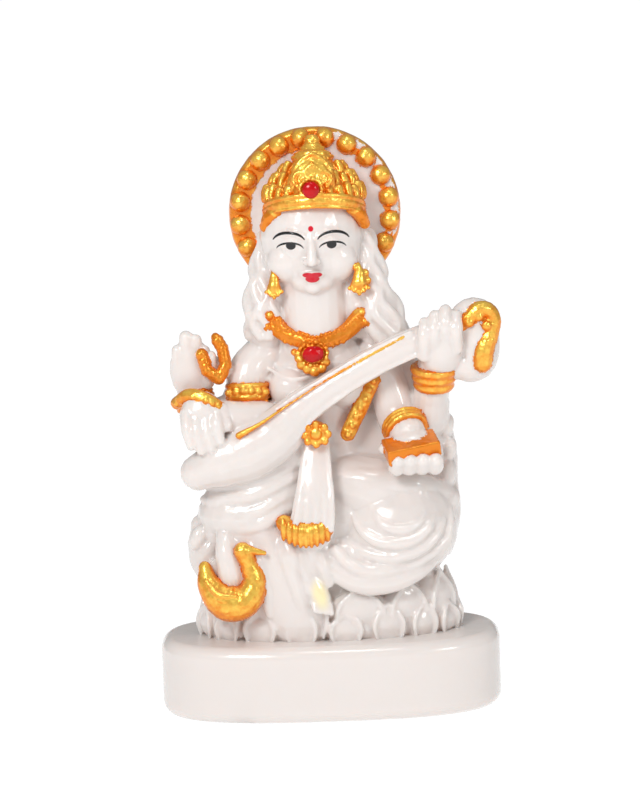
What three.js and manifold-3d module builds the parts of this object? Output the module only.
// A cast resin figure of Saraswati, seated on a lotus with her veena, book, prayer beads and swan.
// The figure and its plinth are one casting. Two red glass stones sit in sockets, one in the
// crown and one in the necklace. Millimetres, +Z up, origin under the centre of the plinth.
import * as THREE from "three";
import { SimplifyModifier } from "three/addons/modifiers/SimplifyModifier.js";
import { mergeVertices } from "three/addons/utils/BufferGeometryUtils.js";
import Module from "manifold-3d";

const wasm = await Module();
wasm.setup();

// Plinth
const plinthLength = 73.2;
const plinthDepth = 38;
const plinthHeight = 16.5;
const plinthRounding = 2.6;
const plinthSquareness = 2.7;
const plinthSides = 36;

// Figure, from the plinth's top to the top of the halo. Its pose and carving are written for
// a figure of drawnHeight and grow with figureHeight.
const figureHeight = 108.5;
const drawnHeight = 108.5;
const seatDepth = 1;

// Halo
const haloRadius = 18.5;
const haloThickness = 4;
const haloBeadRadius = 2.35;
const haloBeads = 14;

// Stones and the sockets that hold them
const crownStoneDiameter = 3.6;
const crownStoneThickness = 1.9;
const pendantStoneWidth = 5;
const pendantStoneHeight = 4;
const pendantStoneThickness = 2.2;
const socketDepth = 1.2;
const socketClearance = 0.3;
const collarWall = 0.7;

// The carving is thinned to this many triangles, edges shorter than the weld are closed, and bars
// of this radius fill the pinches.
const carvingTriangles = 8800;
const weld = 0.03;
const pinchRadius = 0.3;
const pinchRounds = 6;

const k = figureHeight / drawnHeight;
const turn = 2 * Math.PI;

// A point of the figure: x to the viewer's right, y to the back, z above the plinth's top.
function at(x, y, z) {
  return new THREE.Vector3(x * k, y * k, plinthHeight + z * k);
}

function solid(geometry) {
  const plain = new THREE.BufferGeometry();
  plain.setAttribute("position", geometry.getAttribute("position"));
  if (geometry.index) plain.setIndex(geometry.index);
  const merged = mergeVertices(plain, 1e-4);
  const corners = merged.index.array;
  const triVerts = [];
  for (let i = 0; i < corners.length; i += 3) {
    const [a, b, c] = [corners[i], corners[i + 1], corners[i + 2]];
    if (a !== b && b !== c && c !== a) triVerts.push(a, b, c);
  }
  const vertProperties = merged.attributes.position.array;
  return new wasm.Manifold(
    new wasm.Mesh({ numProp: 3, vertProperties, triVerts: new Uint32Array(triVerts) }),
  );
}

// A rounded strand along a smooth curve. Each station is [x, y, z, across, deep]: its place, its
// half width in the plane that faces the viewer, and its half depth, the same where left out.
function strand(stations, { sides = 7, rows = 2, cap = 2 } = {}) {
  const line = new THREE.CatmullRomCurve3(stations.map(([x, y, z]) => at(x, y, z)));
  const size = new THREE.CatmullRomCurve3(
    stations.map(([, , , across, deep = across]) => new THREE.Vector3(across * k, deep * k, 0)),
  );
  const body = rows * (stations.length - 1);
  const total = body + 2 * cap;
  const geometry = new THREE.SphereGeometry(1, sides, total);
  const place = geometry.attributes.position;
  const ring = sides + 1;
  for (let row = 0; row <= total; row++) {
    const share = THREE.MathUtils.clamp((row - cap) / body, 0, 1);
    const fromEnd = Math.min(row, total - row) / cap;
    const swell = fromEnd < 1 ? Math.sin((fromEnd * Math.PI) / 2) : 1;
    const reach = fromEnd < 1 ? Math.cos((fromEnd * Math.PI) / 2) : 0;
    const along = line.getTangent(share);
    const front = new THREE.Vector3(0, -1, 0);
    if (Math.abs(along.y) > 0.9) front.set(0, 0, 1);
    const side = new THREE.Vector3().crossVectors(along, front).normalize();
    front.crossVectors(side, along).normalize();
    const { x: across, y: deep } = size.getPoint(share);
    const centre = line.getPoint(share);
    centre.addScaledVector(along, (row < cap ? -1 : 1) * reach * Math.min(across, deep));
    for (let i = 0; i < ring; i++) {
      const angle = (turn * i) / sides;
      const p = centre.clone();
      p.addScaledVector(side, Math.cos(angle) * swell * across);
      p.addScaledVector(front, Math.sin(angle) * swell * deep);
      place.setXYZ(row * ring + i, p.x, p.y, p.z);
    }
  }
  const made = solid(geometry);
  if (made.volume() > 0) return made;
  return solid(inverted(geometry));
}

function inverted(geometry) {
  const flipped = geometry.clone();
  const corners = flipped.index.array;
  for (let i = 0; i < corners.length; i += 3) {
    [corners[i + 1], corners[i + 2]] = [corners[i + 2], corners[i + 1]];
  }
  return flipped;
}

// An ellipsoid of half sizes rx, ry and rz. lean turns it in the plane that faces the viewer.
function blob([x, y, z], [rx, ry, rz], { sides = 10, rows = 7, lean = 0 } = {}) {
  const geometry = new THREE.SphereGeometry(1, sides, rows);
  geometry.rotateX(Math.PI / 2);
  geometry.scale(rx * k, ry * k, rz * k);
  geometry.rotateY(THREE.MathUtils.degToRad(lean));
  geometry.translate(...at(x, y, z).toArray());
  return solid(geometry);
}

function bead(centre, radius) {
  return blob(centre, [radius, radius, radius], { sides: 6, rows: 4 });
}

// A turned form about an axis through a point of the figure. The profile holds [radius, height]
// pairs along that axis, and flat squeezes it from front to back.
function turned([x, y, z], axis, profile, { sides = 14, flat = 1 } = {}) {
  const points = profile.map(([r, h]) => new THREE.Vector2(r * k, h * k));
  const geometry = new THREE.LatheGeometry(points, sides);
  geometry.scale(1, 1, flat);
  const up = new THREE.Vector3(0, 1, 0);
  const aim = new THREE.Quaternion().setFromUnitVectors(up, new THREE.Vector3(...axis).normalize());
  geometry.applyQuaternion(aim);
  geometry.translate(...at(x, y, z).toArray());
  return solid(geometry);
}

// A cuff or bangle: a turned disc that the arm runs through.
function cuff(centre, axis, low, high, height, options) {
  const half = height / 2;
  const belly = (low + high) / 2 + 0.25;
  const profile = [[0, -half], [low - 0.4, -half], [low, -half + 0.5], [belly, 0]];
  profile.push([high, half - 0.5], [high - 0.4, half], [0, half]);
  return turned(centre, axis, profile, options);
}

// The front of an ellipsoid mass at a given x and z
function frontOf({ centre, radii }, x, z, proud = 0) {
  const [cx, cy, cz] = centre;
  const [rx, ry, rz] = radii;
  const inside = 1 - ((x - cx) / rx) ** 2 - ((z - cz) / rz) ** 2;
  return cy - ry * Math.sqrt(Math.max(inside, 0.02)) - proud;
}

// A drapery fold that sags across the front of a mass, as an arc of an ellipse.
function swag(mass, { x: cx, z: cz, across, down, from, to, width }, steps = 6) {
  const stations = [];
  for (let i = 0; i <= steps; i++) {
    const angle = THREE.MathUtils.degToRad(from + ((to - from) * i) / steps);
    const x = cx + across * Math.cos(angle);
    const z = cz + down * Math.sin(angle);
    const thick = width * (0.3 + 0.7 * Math.sin((Math.PI * i) / steps));
    stations.push([x, frontOf(mass, x, z), z, thick]);
  }
  return strand(stations, { sides: 5, rows: 1, cap: 1 });
}

function plinth() {
  const outline = [];
  for (let i = 0; i < plinthSides; i++) {
    const angle = (turn * i) / plinthSides;
    const reach = (size, share) =>
      (size / 2 - plinthRounding) * Math.sign(share) * Math.abs(share) ** (2 / plinthSquareness);
    outline.push(
      new THREE.Vector2(
        reach(plinthLength, Math.cos(angle)),
        reach(plinthDepth, Math.sin(angle)),
      ),
    );
  }
  const geometry = new THREE.ExtrudeGeometry(new THREE.Shape(outline), {
    depth: plinthHeight - 2 * plinthRounding,
    bevelEnabled: true,
    bevelThickness: plinthRounding,
    bevelSize: plinthRounding,
    bevelSegments: 3,
    steps: 1,
  });
  geometry.translate(0, 0, plinthRounding);
  return solid(geometry);
}

// The lotus: a mound on the plinth with a ring of upright rounded petals.
const moundFlat = 0.42;
const moundRim = [[0, -seatDepth / k], [24, -seatDepth / k], [25.6, 2.4], [26.4, 5.6], [25.6, 8]];
moundRim.push([23, 11.8], [19.6, 14.4], [13, 16.6], [0, 17.6]);
const petalHeight = 10.8;

function petal(angle) {
  const [x, y] = [25 * Math.cos(angle), 25 * moundFlat * Math.sin(angle)];
  const size = [4.5 - 0.8 * Math.abs(Math.cos(angle)), 3.4, petalHeight * 0.6];
  return blob([x, y, petalHeight * 0.4], size, { sides: 9, rows: 7 });
}

function lotus() {
  const forms = [turned([0, 0.4, 0], [0, 0, 1], moundRim, { sides: 24, flat: moundFlat })];
  const around = 22;
  for (let i = 0; i < around; i++) forms.push(petal((turn * (i + 0.5)) / around));
  return forms;
}

// The lap: her left leg lies folded to the viewer's right, her right knee is to the left, and
// that shin hangs down to a foot on the lotus.
const leftKnee = { centre: [15, -3, 22.8], radii: [13.4, 12, 11.8] };
const rightKnee = { centre: [-16.6, -4, 26.8], radii: [11, 8.8, 7.4] };

function legs() {
  const forms = [
    blob([-1, 0, 25], [23, 11, 10], { sides: 14, rows: 8 }),
    blob(leftKnee.centre, leftKnee.radii, { sides: 16, rows: 10 }),
    blob(rightKnee.centre, rightKnee.radii, { sides: 13, rows: 8 }),
    strand([[1, -1.5, 33, 6.5, 7], [10, -4, 30.5, 7.5, 8], [18.5, -3.6, 27, 8, 8.4]], { sides: 10 }),
    strand([[-3.6, -4, 32, 6, 6.4], [-12, -6.2, 31, 5.6, 6.4], [-21, -5.4, 29.8, 5.2, 5.6]],
      { sides: 10 }),
    strand([[-15.6, -7.4, 23, 8, 5.2], [-10.6, -9, 14, 8, 4.8], [-7, -9.4, 5, 6.4, 4.2]],
      { sides: 10 }),
    strand([[-6, -10, 9.5, 3.4, 3], [-2.6, -12, 7.4, 2.7, 2.4], [-0.4, -13.2, 5, 1.9, 1.6]]),
    blob([-3.6, -8, 16.6], [7, 5.6, 7], { sides: 9, rows: 6 }),
  ];
  for (const [size, width] of [[6, 1], [9.4, 1.5], [12.6, 1.5]]) {
    const arc = { x: 14.4, z: 29.4, across: size, down: size * 1.12, from: 196, to: 338, width };
    forms.push(swag(leftKnee, arc));
  }
  // Folds across the right thigh
  for (const [left, middle, right] of [[30.6, 31.8, 33.6], [27.4, 26.6, 29.8]]) {
    forms.push(
      strand([[-25.6, -8, left, 0.9], [-17.6, -12.2, middle, 1.5], [-9, -11.6, right, 1]],
        { sides: 6, cap: 1 }),
    );
  }
  // Folds that hang from the right knee to the lotus
  for (const [x, lean] of [[-21.5, 4], [-16, 6], [-11, 6.5], [-6.6, 4.6]]) {
    const top = [x, -11, 23.4, 0.9];
    const middle = [x + lean * 0.5, -13.6, 15.6, 1.3];
    forms.push(strand([top, middle, [x + lean, -12.8, 8.4, 0.9]], { sides: 5, cap: 1 }));
  }
  // The hem that runs from the left knee across to the shin
  forms.push(
    strand([[23, -8.6, 15, 1.3], [13, -13.4, 11.6, 1.9], [4.6, -12.8, 11.6, 2],
      [-1.4, -11.6, 16.6, 1.6]], { sides: 6, cap: 1 }),
  );
  // A cloth end that stands out at the left under the knee
  forms.push(
    strand([[-23, -4, 13, 3, 3.4], [-25.6, -4.5, 18, 4.2, 3.8], [-26.6, -4, 22.6, 3.5, 3.2],
      [-25.8, -4, 25.4, 1.6, 1.8]], { sides: 8, rows: 1 }),
  );
  return forms;
}

function torso() {
  return [
    strand([[0, 0, 32, 12, 9], [-0.8, 0, 42, 9, 6.4], [-0.6, -0.5, 51, 10.4, 7],
      [-0.6, 0, 58.5, 12.6, 6.4], [-0.8, 0, 63.5, 9.5, 5]], { sides: 12, rows: 1 }),
    strand([[-0.9, -1, 61, 8, 5.4], [-1, -2.2, 69, 6.2, 5.2], [-1.2, -2.2, 77, 6, 5.2]],
      { sides: 10, rows: 1 }),
    blob([-6.6, -5, 54], [4.8, 4.2, 4.6], { sides: 9, rows: 6 }),
    blob([5.2, -5, 53.6], [4.8, 4.2, 4.6], { sides: 9, rows: 6 }),
  ];
}

// The sash hangs from the belt's rosette to a fringe, and a band crosses the waist.
function sash() {
  const forms = [
    strand([[-1.7, -8.8, 44.6, 2.9, 2], [-2, -11.6, 37, 3.8, 2], [-2.6, -14, 28.6, 5, 1.8],
      [-3.4, -14.4, 22.4, 5.7, 1.7]], { sides: 9, cap: 1 }),
    turned([-1.6, -8.6, 44.8], [0, -1, 0.1], [[0, -2], [2.9, -2], [3.2, 0.6], [2.2, 1.6], [0, 2]],
      { sides: 10 }),
    strand([[11, -6.4, 55, 1.4, 1.4], [8, -7.4, 49.5, 1.7, 1.4], [5.2, -7.6, 44, 1.5, 1.2]],
      { sides: 6, cap: 1 }),
    strand([[-8.8, -13, 25.2, 2, 1.3], [-4.2, -15.2, 23, 2.5, 1.5],
      [0.9, -14.6, 24.2, 2, 1.3]], { sides: 7 }),
  ];
  const lobes = 6;
  for (let i = 0; i < lobes; i++) {
    const x = -8.6 + (9.4 * i) / (lobes - 1);
    const droop = 1 - ((x + 3.4) / 6) ** 2;
    const centre = [x, -14.3 - 1.4 * droop, 24.2 - 1.6 * droop];
    forms.push(blob(centre, [1.1, 1.1, 2.4], { sides: 7, rows: 5 }));
  }
  return forms;
}

// Four arms. The lower pair play the veena and carry the book, the upper pair raise the
// prayer beads and hold the veena's neck.
function arms() {
  return [
    strand([[-12, -0.5, 60.5, 4.6], [-15.4, -2.6, 57, 4.6], [-15.8, -4.4, 51, 4.1],
      [-14.5, -6.5, 46.5, 4.2]], { sides: 9, rows: 1 }),
    strand([[-12.5, -8, 47.5, 4.2], [-18, -10, 48.2, 3.9], [-23.5, -11, 49.6, 3.4]],
      { sides: 8, rows: 1 }),
    strand([[-16, 1, 50, 4.4], [-22.5, -0.5, 47.5, 4.2], [-26.6, -2.6, 50.5, 3.6],
      [-27.6, -3.4, 54, 3.4]], { sides: 8, rows: 1 }),
    strand([[12, 0.5, 60, 4.8], [18.5, 1, 53, 4.8], [21.6, -1.5, 45.5, 5], [23, -5, 51, 3.9],
      [24, -8, 58, 3.7]], { sides: 9 }),
    strand([[11.4, -1, 59.5, 4.6], [14.4, -3.2, 52.5, 4.4], [16, -5, 46.5, 4.4],
      [18, -9.6, 43.6, 3.9]], { sides: 9, rows: 1 }),
  ];
}

function bangles() {
  return [
    cuff([-27.4, -3.3, 52], [-0.42, 0, 0.9], 4, 4.5, 3.2, { sides: 11, flat: 0.85 }),
    cuff([-15.8, -4.1, 53.2], [0, 0.15, 1], 4.6, 4.6, 3.6, { sides: 11 }),
    cuff([23.8, -7.6, 55.6], [0.04, -0.24, 1], 3.8, 4.9, 5.4, { sides: 12, flat: 0.9 }),
    cuff([17.4, -7.9, 44.8], [0.28, -0.8, -0.5], 4.7, 4.4, 2.6, { sides: 12 }),
    strand([[-28.6, -11.6, 52.6, 0.8], [-25, -13.6, 54.6, 0.9], [-20.6, -11.8, 51, 0.8]],
      { sides: 5, cap: 1 }),
  ];
}

// A finger runs from the palm to its tip, over a knuckle where one is given.
function finger(stations, cap = 2) {
  return strand(stations, { sides: 6, rows: 1, cap });
}

function hands() {
  const forms = [
    // The raised palm
    blob([-27.5, -4.2, 58.4], [4.9, 3.2, 6.6], { sides: 10, rows: 7 }),
    // The back of the hand on the veena's bowl
    blob([-25.4, -11.8, 49], [5, 3.6, 5.6], { sides: 10, rows: 7 }),
    // The hand round the veena's neck
    blob([25.2, -10, 62.4], [4.9, 3.8, 6.6], { sides: 10, rows: 7 }),
    // The palm under the book
    blob([18.8, -11.2, 42.2], [5, 4.2, 3], { sides: 10, rows: 6 }),
  ];
  for (const [x, tip] of [[-30.5, 63.6], [-28.6, 66.2], [-26.5, 65.4], [-24.6, 63.4]]) {
    forms.push(finger([[x, -4.2, 59, 1.7, 2.2], [x, -5, tip - 0.8, 1.4, 1.6]]));
  }
  forms.push(finger([[-24.2, -5, 57, 1.8], [-23.2, -6.6, 61, 1.4]]));
  for (const x of [-28.8, -26.6, -24.4, -22.4]) {
    const knuckle = [x + 0.2, -15.6, 46, 1.5];
    forms.push(finger([[x, -13.6, 49.4, 1.5], knuckle, [x + 0.6, -15.8, 42.8, 1.2]], 1));
  }
  for (const [x, tip] of [[21.9, 68.6], [24.1, 70], [26.4, 71], [28.6, 70]]) {
    const knuckle = [x, -13.2, tip - 3, 1.5];
    forms.push(finger([[x, -12.4, tip - 7.4, 1.5], knuckle, [x, -10.8, tip - 0.8, 1.4]], 1));
  }
  for (const x of [15.2, 17.9, 20.6, 23.2]) {
    forms.push(finger([[x, -12, 39.4, 1.7], [x, -15, 37.8, 1.6], [x + 0.2, -16.8, 38.8, 1.3]], 1));
  }
  return forms;
}

// The prayer beads hang in a loop from the raised thumb.
const beadLoop = [[-25.2, -7.6, 62], [-24.2, -8, 58.6], [-21.8, -7.8, 56.8], [-20.2, -7.2, 59.6]];
beadLoop.push([-20.8, -6.6, 63], [-22.2, -6.2, 65.4]);

function prayerBeads() {
  const loop = new THREE.CatmullRomCurve3(beadLoop.map((p) => new THREE.Vector3(...p)));
  const count = 11;
  const forms = [strand(beadLoop.map((p) => [...p, 0.8]), { sides: 5, cap: 1 })];
  for (let i = 0; i <= count; i++) forms.push(bead(loop.getPointAt(i / count).toArray(), 1.25));
  // A web of resin backs the beads where they cross from the hand to the arm
  forms.push(strand([[-24.4, -4.4, 60, 2.2, 2], [-20.4, -4.8, 58, 1.6, 2]], { sides: 6, cap: 1 }));
  return forms;
}

function veena() {
  return [
    strand([[-26.8, -11.5, 37.4, 3.9, 4], [-22, -12, 39.4, 5.5, 4.8], [-16, -12, 41.5, 6.3, 5],
      [-10, -11.6, 45, 5.8, 4.8], [-5, -11.2, 49.8, 4.2, 4], [0, -11, 53.2, 3.4, 3.4],
      [9, -10.8, 58.5, 3.2, 2.8], [18, -10.4, 62.8, 3.1, 2.6], [26, -9.6, 65, 3.4, 2.8]],
      { sides: 10, rows: 1 }),
    strand([[28.5, -8.6, 57.6, 2.8, 2.8], [32.5, -8.6, 58.5, 4.4, 3.4], [33.4, -8.6, 64, 4.6, 3.4],
      [33, -8.6, 68.2, 4.2, 3.2], [29.5, -8.8, 66.5, 3.6, 3]], { sides: 9, rows: 1 }),
    strand([[31.2, -11.2, 67.6, 1.2], [33.2, -10.8, 70.2, 1.5, 1.8], [36, -10.2, 69, 2, 2],
      [36, -10.4, 64.5, 1.9, 2.2], [34.6, -10.8, 60.5, 2.1, 2.2], [33.8, -10.8, 57.8, 1.7, 2]],
      { sides: 7, rows: 1, cap: 1 }),
    strand([[-17.6, -15.9, 45.8, 0.9], [-9, -14.9, 50.2, 0.8], [2, -13, 56.6, 0.7],
      [17.5, -11.8, 64.8, 0.6]], { sides: 5, rows: 1, cap: 1 }),
  ];
}

const bookWidth = 11.4;
const bookDepth = 7;
const bookThickness = 3.4;

function book() {
  const geometry = new THREE.BoxGeometry(bookWidth * k, bookDepth * k, bookThickness * k);
  geometry.rotateX(THREE.MathUtils.degToRad(16));
  geometry.rotateY(THREE.MathUtils.degToRad(-9));
  geometry.rotateZ(THREE.MathUtils.degToRad(8));
  geometry.translate(...at(18.4, -14, 41.6).toArray());
  return [solid(geometry)];
}

function head() {
  return [
    blob([-1.2, -0.8, 85.4], [10.2, 9.2, 12], { sides: 16, rows: 11 }),
    blob([-1.3, -3.2, 79.8], [8.8, 6, 7], { sides: 13, rows: 9 }),
    blob([-1.3, -6.2, 76.4], [3.8, 3.2, 2.9], { sides: 9, rows: 6 }),
    strand([[-1.3, -9.2, 86, 0.9], [-1.3, -10.4, 82.8, 1.3]], { sides: 6, rows: 1, cap: 1 }),
    blob([-9, -6, 74.6], [2, 1.8, 2], { sides: 7, rows: 5 }),
    strand([[-9.1, -6.2, 75.5, 1.4], [-9.2, -6, 78.6, 0.6]], { sides: 5, rows: 1, cap: 1 }),
    blob([8.2, -6, 75.4], [2.5, 1.8, 2.2], { sides: 7, rows: 5 }),
    strand([[8.4, -6.2, 76, 1.6], [8.8, -5.8, 78.8, 0.7]], { sides: 5, rows: 1, cap: 1 }),
  ];
}

// Long locks fall in front of each shoulder, and the rest lies down her back.
function hair() {
  const left = [[-10.4, -0.6, 91, 2.2, 5], [-11.3, -1, 84, 2.4, 5.2], [-11.5, -1.6, 77.6, 3.4, 5]];
  left.push([-11.7, -1.8, 71.6, 4.1, 4.6], [-11.5, -2, 64, 3.8, 4]);
  const right = [[9.6, -0.6, 91, 2.2, 5], [10.1, -1, 84, 2.5, 5.2], [10.5, -1.6, 77.6, 3.4, 5]];
  right.push([12.1, -1.8, 70.6, 4.6, 4.6], [15.4, -2, 62.8, 4.7, 4]);
  const forms = [
    strand(left, { sides: 9 }),
    strand(right, { sides: 9 }),
    strand([[-1, 4, 82, 12, 5], [0, 4.2, 67, 14.4, 5.4], [0, 4.4, 52, 14.5, 4.8],
      [0, 5, 38, 13, 4.2]], { sides: 12, rows: 1 }),
  ];
  for (const [x, sway] of [[-9, 1.6], [-4.5, -1.4], [0, 1.4], [4.5, -1.4], [9, 1.6]]) {
    forms.push(strand([[x, 7.6, 76, 1.6], [x + sway, 9, 64, 1.8], [x, 9, 52, 1.8],
      [x + sway, 8.8, 41, 1.4]], { sides: 5, rows: 1, cap: 1 }));
  }
  // Two waved strands lie on each front lock
  for (const lock of [left, right]) {
    for (const shift of [-1, 1]) {
      const wave = lock.slice(1).map(([x, y, z, across, deep], i) => {
        const out = shift * across * (i % 2 === 0 ? 0.35 : 0.6);
        return [x + out, y - deep * 0.72, z, across * 0.42, 1.6];
      });
      forms.push(strand(wave, { sides: 5, cap: 1 }));
    }
  }
  return forms;
}

// The shawl falls behind her left arms to the knee.
function shawl() {
  return [
    strand([[19, 3, 55, 4, 4], [23.2, 1.6, 45, 3.8, 5], [25, 0.6, 38, 3.2, 5],
      [25.2, -0.6, 32, 3, 4.6], [25.4, -1.6, 25, 3.4, 4.6], [24.6, -1.6, 18, 2.6, 3.8]],
      { sides: 8 }),
    blob([0, 3, 40], [20.5, 8, 15], { sides: 14, rows: 8 }),
    strand([[13, 2, 57, 5, 3.6], [16.6, 2, 47, 6.4, 4.4], [18, 1.4, 36, 7, 5]], { sides: 8, rows: 1 }),
    strand([[-16, 3, 54, 4, 4], [-20, 2, 43, 4.4, 5.4], [-21, 1, 33, 4.4, 5.4]],
      { sides: 8, rows: 1 }),
  ];
}

const haloCentre = [-0.2, 7, drawnHeight - haloRadius / k];
const haloFront = haloCentre[1] - haloThickness / k / 2;

function halo() {
  const half = haloThickness / k / 2;
  const radius = haloRadius / k;
  const chamfer = half * 0.5;
  const rim = [[0, -half], [radius - chamfer, -half], [radius, chamfer - half]];
  rim.push([radius, half - chamfer], [radius - chamfer, half], [0, half]);
  const forms = [turned(haloCentre, [0, -1, 0], rim, { sides: 30 })];
  const beadRadius = haloBeadRadius / k;
  const ring = radius - beadRadius;
  const spread = THREE.MathUtils.degToRad(230);
  for (let i = 0; i < haloBeads; i++) {
    const angle = Math.PI / 2 - spread / 2 + (spread * i) / (haloBeads - 1);
    const x = haloCentre[0] + ring * Math.cos(angle);
    const z = haloCentre[2] + ring * Math.sin(angle);
    const size = [beadRadius, beadRadius, beadRadius];
    forms.push(blob([x, haloFront + 0.3, z], size, { sides: 8, rows: 6 }));
  }
  return forms;
}

// The crown: a stepped dome on the head with two rows of upright leaves, a tier and a knob. It
// leans back a little, and is flatter from front to back.
const crownFoot = [-0.5, -0.8, 91.4];
const crownLean = 0.2;
const crownFlat = 0.86;
const crownProfile = [[0, 0.5], [11.2, 0.5], [11.4, 1.4], [10.9, 3], [9.6, 5.2], [7.8, 7.4], [6, 10.2]];
crownProfile.push([4.3, 11.2], [4.1, 12.9], [2.2, 13.3], [2.2, 14.9], [1.2, 15.9], [0, 16.1]);

function crownLeaves(count, radius, height, base, width) {
  const forms = [];
  for (let i = 0; i < count; i++) {
    const angle = Math.PI * (1 + (i + 0.5) / count);
    const z = base + height / 2;
    const x = crownFoot[0] + radius * Math.cos(angle);
    const y = crownFoot[1] + crownLean * z + radius * crownFlat * Math.sin(angle);
    const size = [width, 1.1, height * 0.6];
    forms.push(blob([x, y, crownFoot[2] + z], size, { sides: 5, rows: 4 }));
  }
  return forms;
}

function crown() {
  const axis = [0, crownLean, 1];
  const forms = [turned(crownFoot, axis, crownProfile, { sides: 18, flat: crownFlat })];
  forms.push(...crownLeaves(11, 10.7, 4.2, 2.4, 1.5));
  forms.push(...crownLeaves(9, 8.4, 4, 6.4, 1.25));
  // The lower band is higher over the brow than at the temples
  const band = [];
  const steps = 6;
  for (let i = 0; i <= steps; i++) {
    const angle = Math.PI * (1 + i / steps);
    const rise = 5.4 * Math.sin(angle - Math.PI);
    band.push([-0.4 + 11.2 * Math.cos(angle), -0.4 + 9.8 * Math.sin(angle), 90 + rise, 1.4, 1.3]);
  }
  forms.push(strand(band, { sides: 6, rows: 1, cap: 1 }));
  return forms;
}

// The necklace is a broad collar with beads along its lower edge and four under its stone.
const collarLine = [[-10.6, -4.6, 68.2], [-7.4, -6, 65.4], [-1.2, -7, 63.6], [4.8, -6.4, 65]];
collarLine.push([8.8, -5.2, 68]);
const collarWidths = [2, 1.7, 1.5, 1.7, 2];

function necklace() {
  const line = new THREE.CatmullRomCurve3(collarLine.map((p) => new THREE.Vector3(...p)));
  const forms = [strand(collarLine.map((p, i) => [...p, collarWidths[i], 1.3]))];
  const count = 11;
  for (let i = 0; i <= count; i++) {
    const p = line.getPointAt(i / count);
    forms.push(bead([p.x, p.y - 0.6, p.z - 1.8], 0.9));
  }
  for (const [x, z] of [[-4.8, 59.8], [-3.4, 58.8], [-1.6, 58.4], [0.2, 58.8]]) {
    forms.push(bead([x, -8, z], 1.2));
  }
  return forms;
}

// The swan stands at the lotus's left and looks to the right.
function swan() {
  return [
    strand([[-26, -12.4, 16.2, 1.3, 1.3], [-25, -13.2, 12.4, 2.6, 2.6], [-21.4, -13.8, 8.8, 4, 3.8],
      [-17.8, -13.8, 9.4, 3.7, 3.6], [-15.6, -13.8, 13, 2.4, 2.6], [-16.8, -13.8, 17, 1.7, 2],
      [-18, -14, 20, 1.9, 2]], { sides: 8 }),
    strand([[-17.4, -14.2, 20.4, 1.4], [-13.4, -14.6, 19.4, 0.6]], { sides: 5, rows: 1, cap: 1 }),
    // Resin fills the space between the swan's back and the drapery
    strand([[-23, -9.6, 16, 2.6, 2.4], [-19, -9.6, 12, 3, 2.4]], { sides: 7, rows: 1 }),
  ];
}

// A stone's seat is a collar on the casting with a flat-bottomed socket. The collar's face
// stands at the given y, and the stone keeps the same clearance all round and behind.
const crownSeat = { x: -0.9, y: -10.1, z: 96.3, width: crownStoneDiameter };
crownSeat.height = crownStoneDiameter;
const pendantSeat = { x: -1.6, y: -9.8, z: 61.6, width: pendantStoneWidth };
pendantSeat.height = pendantStoneHeight;

function seatDisc(seat, grow, depth, setBack) {
  const geometry = new THREE.CylinderGeometry(0.5, 0.5, depth, 20);
  geometry.scale(seat.width + 2 * grow, 1, seat.height + 2 * grow);
  const centre = at(seat.x, seat.y, seat.z);
  geometry.translate(centre.x, centre.y + setBack + depth / 2, centre.z);
  return solid(geometry);
}

function collar(seat) {
  return seatDisc(seat, socketClearance + collarWall, socketDepth + 3.4, 0);
}

function socket(seat) {
  return seatDisc(seat, socketClearance, socketDepth + 3, -3);
}

function stoneGeometry(seat, thickness, sides, table) {
  const radius = 0.5;
  const girdle = thickness * 0.45;
  const profile = [[0, 0], [radius, 0], [radius, girdle], [radius * 0.86, thickness * 0.78]];
  profile.push([radius * table, thickness], [0, thickness]);
  const points = profile.map(([r, h]) => new THREE.Vector2(r, h));
  const geometry = new THREE.LatheGeometry(points, sides);
  geometry.scale(seat.width, 1, seat.height);
  geometry.rotateX(Math.PI);
  const centre = at(seat.x, seat.y, seat.z);
  geometry.translate(centre.x, centre.y + socketDepth - socketClearance, centre.z);
  return geometry;
}

const byVolume = (a, b) => b.volume() - a.volume();

async function thinned(manifold, triangles) {
  const geometry = geometryOf(manifold);
  const corners = geometry.getAttribute("position").count;
  const spare = Math.max(0, 1 - triangles / manifold.numTri());
  return solid(await new SimplifyModifier().modify(geometry, Math.floor(corners * spare)));
}

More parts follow.
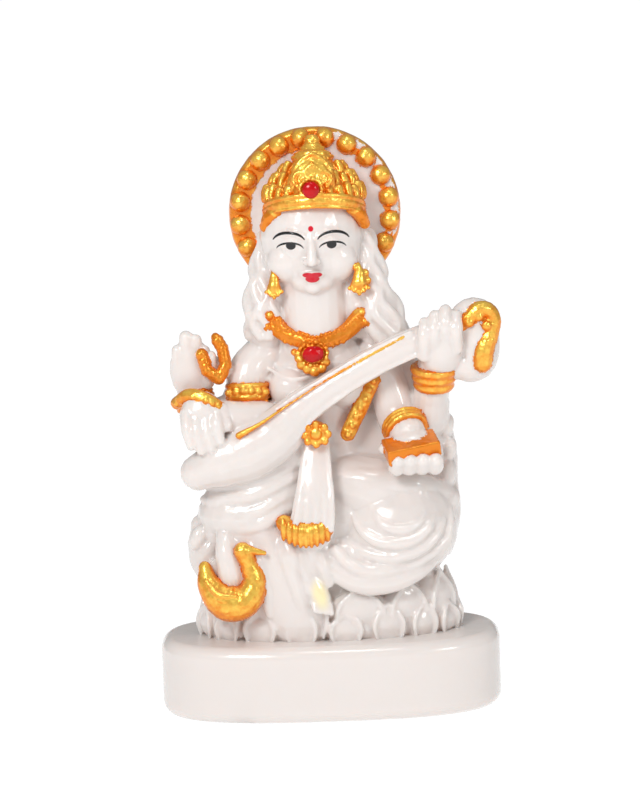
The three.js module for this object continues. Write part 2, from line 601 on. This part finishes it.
// Two folds can touch along one edge alone, where four faces meet. A thin bar along each such
// edge makes it solid.
function pinchBars(manifold) {
  const { vertProperties, triVerts } = manifold.getMesh();
  const corner = (v) => new THREE.Vector3().fromArray(vertProperties, 3 * v);
  const place = (v) => corner(v).toArray().map((share) => share.toFixed(4)).join();
  const edges = new Map();
  for (let i = 0; i < triVerts.length; i++) {
    const next = i % 3 === 2 ? i - 2 : i + 1;
    const ends = [triVerts[i], triVerts[next]];
    const key = ends.map(place).sort().join(" ");
    if (!edges.has(key)) edges.set(key, { ends, faces: 0 });
    edges.get(key).faces += 1;
  }
  const pinched = [...edges.values()].filter(({ faces }) => faces > 2);
  return pinched.map(({ ends }) => {
    const [from, to] = ends.map(corner);
    const along = to.clone().sub(from);
    const length = along.length() + pinchRadius;
    const geometry = new THREE.CylinderGeometry(pinchRadius, pinchRadius, length, 6);
    const up = new THREE.Vector3(0, 1, 0);
    geometry.applyQuaternion(new THREE.Quaternion().setFromUnitVectors(up, along.normalize()));
    geometry.translate(...from.add(to).multiplyScalar(0.5).toArray());
    return solid(geometry);
  });
}

// The carving is one solid without sealed hollows. The plinth and the stones' seats join it
// after it is thinned, so that they keep their exact sizes.
async function casting() {
  const parts = [lotus, legs, torso, sash, shawl, arms, hands, bangles, prayerBeads, veena, book];
  parts.push(head, hair, halo, crown, necklace, swan);
  const carving = wasm.Manifold.union(parts.flatMap((part) => part()));
  const [whole] = carving.decompose().sort(byVolume);
  const seats = [crownSeat, pendantSeat];
  const figure = await thinned(whole, carvingTriangles);
  const raised = wasm.Manifold.union([plinth(), figure, ...seats.map(collar)]);
  const cut = wasm.Manifold.union(seats.map(socket));
  let [body] = raised.subtract(cut).simplify(weld).decompose().sort(byVolume);
  for (let round = 0; round < pinchRounds; round++) {
    const bars = pinchBars(body);
    if (bars.length === 0) break;
    [body] = wasm.Manifold.union([body, ...bars]).decompose().sort(byVolume);
  }
  return body;
}

function geometryOf(manifold) {
  const { numProp, vertProperties, triVerts } = manifold.getMesh();
  const geometry = new THREE.BufferGeometry();
  const attribute = new THREE.BufferAttribute(new Float32Array(vertProperties), numProp);
  geometry.setAttribute("position", attribute);
  geometry.setIndex(new THREE.BufferAttribute(new Uint32Array(triVerts), 1));
  return geometry;
}

function named(name, geometry, colour, roughness, metalness) {
  geometry.computeVertexNormals();
  const material = new THREE.MeshStandardMaterial({ color: colour, roughness, metalness });
  const mesh = new THREE.Mesh(geometry, material);
  mesh.name = name;
  return mesh;
}

const stoneOf = (seat, thickness, sides, table) =>
  geometryOf(solid(stoneGeometry(seat, thickness, sides, table)));

const figure = new THREE.Group();
figure.add(
  named("figure_casting", geometryOf(await casting()), 0xf3ecea, 0.22, 0),
  named("crown_stone", stoneOf(crownSeat, crownStoneThickness, 16, 0.45), 0xb4080c, 0.12, 0),
  named("pendant_stone", stoneOf(pendantSeat, pendantStoneThickness, 8, 0.55), 0xc4060e, 0.1, 0),
);

export default figure;
